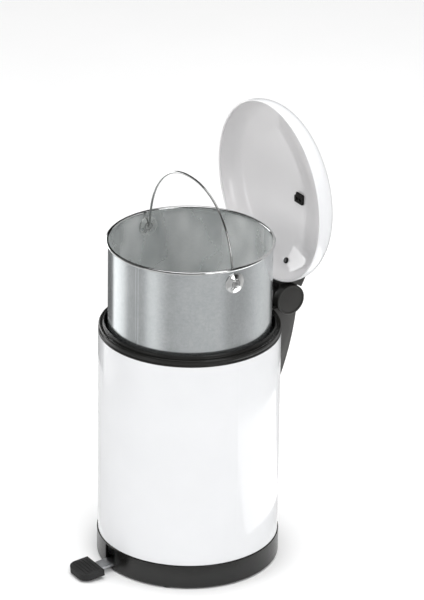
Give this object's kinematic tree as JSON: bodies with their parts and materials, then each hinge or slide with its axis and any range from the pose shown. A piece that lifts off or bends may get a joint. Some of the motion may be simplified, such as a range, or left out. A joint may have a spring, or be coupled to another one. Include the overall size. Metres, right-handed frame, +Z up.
{
  "type": "pedal trash can",
  "caption": "Round pedal bin with a hinged domed lid, a push-rod pedal mechanism and a lift-out metal bucket with a wire bail.",
  "frame": {"origin": "on the floor, on the axis of the can", "axes": "+Z up; +Y towards the lid's hinge, -Y towards the pedal; +X to the left of someone facing the pedal"},
  "size_m": [0.255, 0.3642, 0.6403],
  "materials": {
    "white_lacquer": "gloss white lacquer on sheet steel",
    "black_plastic": "satin moulded plastic",
    "black_rubber": "matt moulded rubber",
    "galvanised_steel": "bright galvanised sheet",
    "zinc_wire": "zinc-plated wire",
    "bright_steel": "bright-plated pressing",
    "zinc_steel": "zinc-plated steel",
    "blackened_steel": "blackened screw"
  },
  "bodies": {
    "can": {"outer_body": "white_lacquer", "rim_ring": "black_plastic", "base_ring": "black_plastic", "floor_plate": "galvanised_steel", "rubber_feet": "black_rubber", "hinge_housing": "black_plastic", "hinge_backing_plate": "zinc_steel", "housing_screws": "zinc_steel", "hinge_cap_left": "black_plastic", "hinge_cap_right": "black_plastic", "hinge_pin": "zinc_steel", "rod_guides": "zinc_steel", "axle_bracket_left": "zinc_steel", "axle_bracket_right": "zinc_steel", "bracket_rivets": "zinc_steel", "pedal_axle": "zinc_steel", "axle_clips": "zinc_steel"},
    "lid": {"lid_shell": "white_lacquer", "lid_bracket": "black_plastic", "lid_screw": "blackened_steel", "lid_clip": "black_plastic"},
    "pedal": {"pedal_lever": "zinc_steel", "pedal_pad": "black_rubber"},
    "rod": {"push_rod": "zinc_steel", "rod_cap": "black_plastic"},
    "bucket": {"bucket_wall": "galvanised_steel", "bucket_bottom": "galvanised_steel", "rim_wire": "zinc_wire", "ear_outer_left": "bright_steel", "ear_outer_right": "bright_steel", "ear_inner_left": "bright_steel", "ear_inner_right": "bright_steel", "ear_eyelets": "bright_steel"},
    "bail": {"bail": "zinc_wire"}
  },
  "joints": [
    {"name": "lid_hinge", "type": "hinge", "parent": "can", "child": "lid", "pos_m": [0, 0.1464, 0.3668], "axis": [-1, 0, 0], "range_deg": [-88.8, 0]},
    {"name": "pedal_pivot", "type": "hinge", "parent": "can", "child": "pedal", "pos_m": [0, -0.01, 0.024], "axis": [1, 0, 0], "range_deg": [-9.81, 0]},
    {"name": "rod_slide", "type": "slide", "parent": "can", "child": "rod", "axis": [0, 0, 1], "range_m": [-0.02226, 0]},
    {"name": "bucket_lift", "type": "slide", "parent": "can", "child": "bucket", "axis": [0, 0, 1], "range_m": [-0.12805, 0]},
    {"name": "bail_swing", "type": "hinge", "parent": "bucket", "child": "bail", "pos_m": [0, 0, 0.4472], "axis": [-1, 0, 0], "range_deg": [-70.05, 0]}
  ],
  "couplings": [
    {"joint": "pedal_pivot", "follows": "lid_hinge", "ratio": 0.11036},
    {"joint": "rod_slide", "follows": "lid_hinge", "m_per_rad": 0.014356},
    {"joint": "bucket_lift", "follows": "lid_hinge", "m_per_rad": 0.082589},
    {"joint": "bail_swing", "follows": "lid_hinge", "ratio": 0.78829}
  ]
}
